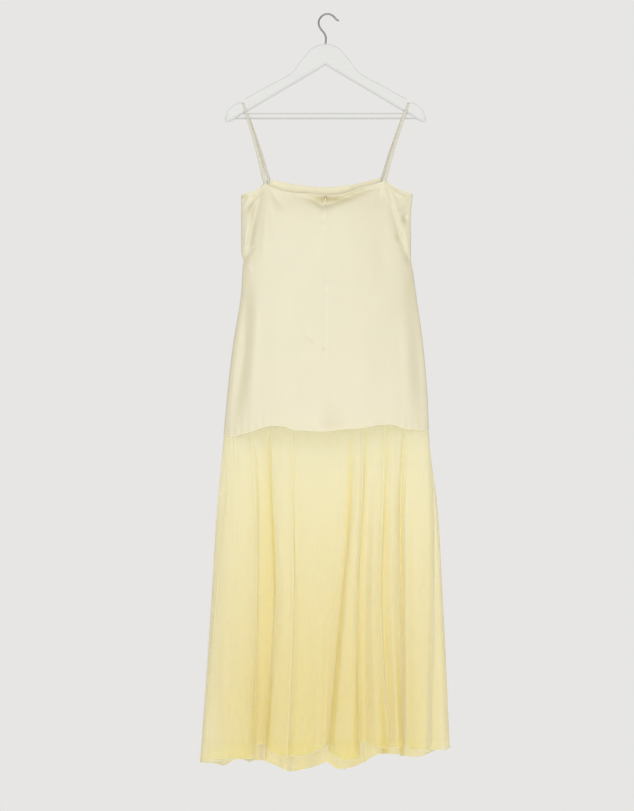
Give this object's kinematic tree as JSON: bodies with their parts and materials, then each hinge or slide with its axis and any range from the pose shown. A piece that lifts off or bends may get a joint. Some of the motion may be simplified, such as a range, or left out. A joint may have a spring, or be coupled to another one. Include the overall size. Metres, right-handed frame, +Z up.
{
  "type": "drop-waist maxi dress on a hanger",
  "caption": "Sleeveless drop-waist maxi dress with thin straps, satin bodice and flared sheer gored skirt, hung from a wooden hanger by its hook.",
  "frame": {"origin": "inner top of the hanger's hook, where it bears on a rod", "axes": "+Z up; -Y out of the dress's back, which faces the viewer of the picture; +X to that viewer's right"},
  "size_m": [0.5505, 0.125, 1.6812],
  "materials": {
    "hanger_wood": "white painted, satin",
    "hook_steel": "bright drawn wire",
    "satin": "pale cream-yellow satin, soft sheen",
    "strap_satin": "pale cream satin, rolled",
    "chiffon": "sheer pale yellow chiffon, matte",
    "zip_tape": "cream woven tape",
    "zip_metal": "cream enamelled, satin"
  },
  "bodies": {
    "dress": {"hanger_body": "hanger_wood", "hanger_bar": "hanger_wood", "hanger_hook": "hook_steel", "satin_back_left": "satin", "satin_back_right": "satin", "satin_front": "satin", "strap_left": "strap_satin", "strap_right": "strap_satin", "skirt_back_left_3": "chiffon", "skirt_back_left_2": "chiffon", "skirt_back_left_1": "chiffon", "skirt_back_centre": "chiffon", "skirt_back_right_1": "chiffon", "skirt_back_right_2": "chiffon", "skirt_back_right_3": "chiffon", "skirt_front_right_3": "chiffon", "skirt_front_right_2": "chiffon", "skirt_front_right_1": "chiffon", "skirt_front_centre": "chiffon", "skirt_front_left_1": "chiffon", "skirt_front_left_2": "chiffon", "skirt_front_left_3": "chiffon", "zip_tape": "zip_tape", "zip_slider": "zip_metal"},
    "pull": {"zip_pull": "zip_metal"}
  },
  "joints": [
    {"name": "pull_hinge", "type": "hinge", "parent": "dress", "child": "pull", "pos_m": [-0.00021, -0.01749, -0.404], "axis": [-1, 0, 0], "range_deg": [0, 150]}
  ]
}
